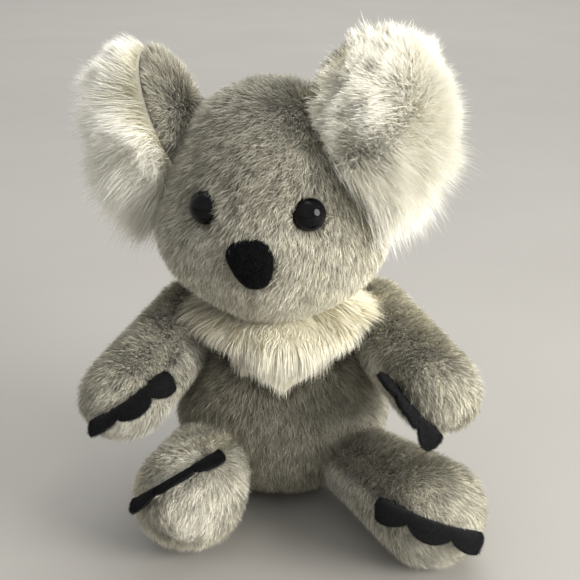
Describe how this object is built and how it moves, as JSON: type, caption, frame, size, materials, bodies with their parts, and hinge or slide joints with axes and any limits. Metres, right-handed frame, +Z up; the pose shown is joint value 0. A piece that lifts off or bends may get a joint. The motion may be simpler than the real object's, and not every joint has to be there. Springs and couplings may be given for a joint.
{
  "type": "plush koala",
  "caption": "Sitting plush koala with a turning head, large fluffy ears, soft limbs, white chest bib and black felt claws.",
  "frame": {"origin": "middle of the flat seat, on the surface that the toy sits on", "axes": "+Z up, -Y the way the toy's chest faces, +X the toy's own left"},
  "size_m": [0.1535, 0.1237, 0.193],
  "materials": {
    "grey_plush": "short frosted pile",
    "pale_plush": "short pale pile",
    "white_pile": "long cream-white pile",
    "black_felt": "matte felt",
    "black_flock": "matte flocked",
    "eye_gloss": "gloss",
    "stuffing": "loose polyester fibre",
    "washer_plastic": "moulded"
  },
  "bodies": {
    "arm_left": {"arm_left_claws": "black_felt", "arm_left_palm": "pale_plush", "arm_left_stuffing": "stuffing", "arm_left_upper": "grey_plush"},
    "arm_right": {"arm_right_claws": "black_felt", "arm_right_palm": "pale_plush", "arm_right_stuffing": "stuffing", "arm_right_upper": "grey_plush"},
    "torso": {"chest_bib": "white_pile", "seat_panel": "grey_plush", "torso_panel_left": "grey_plush", "torso_panel_right": "grey_plush", "torso_stuffing": "stuffing"},
    "ear_left": {"ear_left_back": "grey_plush", "ear_left_pile": "white_pile"},
    "ear_right": {"ear_right_back": "grey_plush", "ear_right_pile": "white_pile"},
    "head": {"eye_left": "eye_gloss", "eye_left_washer": "washer_plastic", "eye_right": "eye_gloss", "eye_right_washer": "washer_plastic", "head_gusset": "grey_plush", "head_side_left": "grey_plush", "head_side_right": "grey_plush", "head_stuffing": "stuffing", "nose": "black_flock", "nose_washer": "washer_plastic"},
    "leg_left": {"leg_left_claws": "black_felt", "leg_left_sole": "pale_plush", "leg_left_stuffing": "stuffing", "leg_left_upper": "grey_plush"},
    "leg_right": {"leg_right_claws": "black_felt", "leg_right_sole": "pale_plush", "leg_right_stuffing": "stuffing", "leg_right_upper": "grey_plush"}
  },
  "joints": [
    {"name": "head_turn", "type": "hinge", "parent": "torso", "child": "head", "pos_m": [-0.003, -0.011, 0.0685], "axis": [0, 0, 1], "range_deg": [-35, 35], "stiffness_Nm_per_rad": 0.2},
    {"name": "ear_left_fold", "type": "hinge", "parent": "head", "child": "ear_left", "pos_m": [0.03317, -0.01673, 0.14655], "axis": [0.1564, 0.9877, 0], "range_deg": [-10, 14], "stiffness_Nm_per_rad": 0.05},
    {"name": "ear_right_fold", "type": "hinge", "parent": "head", "child": "ear_right", "pos_m": [-0.03792, -0.00547, 0.14843], "axis": [0.1564, 0.9877, 0], "range_deg": [-14, 10], "stiffness_Nm_per_rad": 0.05},
    {"name": "arm_left_swing", "type": "hinge", "parent": "torso", "child": "arm_left", "pos_m": [0.037, 0.005, 0.0698], "axis": [1, 0, 0], "range_deg": [-19, 1], "stiffness_Nm_per_rad": 0.2},
    {"name": "arm_right_swing", "type": "hinge", "parent": "torso", "child": "arm_right", "pos_m": [-0.037, 0.005, 0.0698], "axis": [1, 0, 0], "range_deg": [-19, 1], "stiffness_Nm_per_rad": 0.2},
    {"name": "leg_left_swing", "type": "hinge", "parent": "torso", "child": "leg_left", "pos_m": [0.032, -0.027, 0.0195], "axis": [0, 0, 1], "range_deg": [-5, 5], "stiffness_Nm_per_rad": 0.2},
    {"name": "leg_right_swing", "type": "hinge", "parent": "torso", "child": "leg_right", "pos_m": [-0.028, -0.013, 0.0195], "axis": [0, 0, 1], "range_deg": [-5, 5], "stiffness_Nm_per_rad": 0.2}
  ]
}
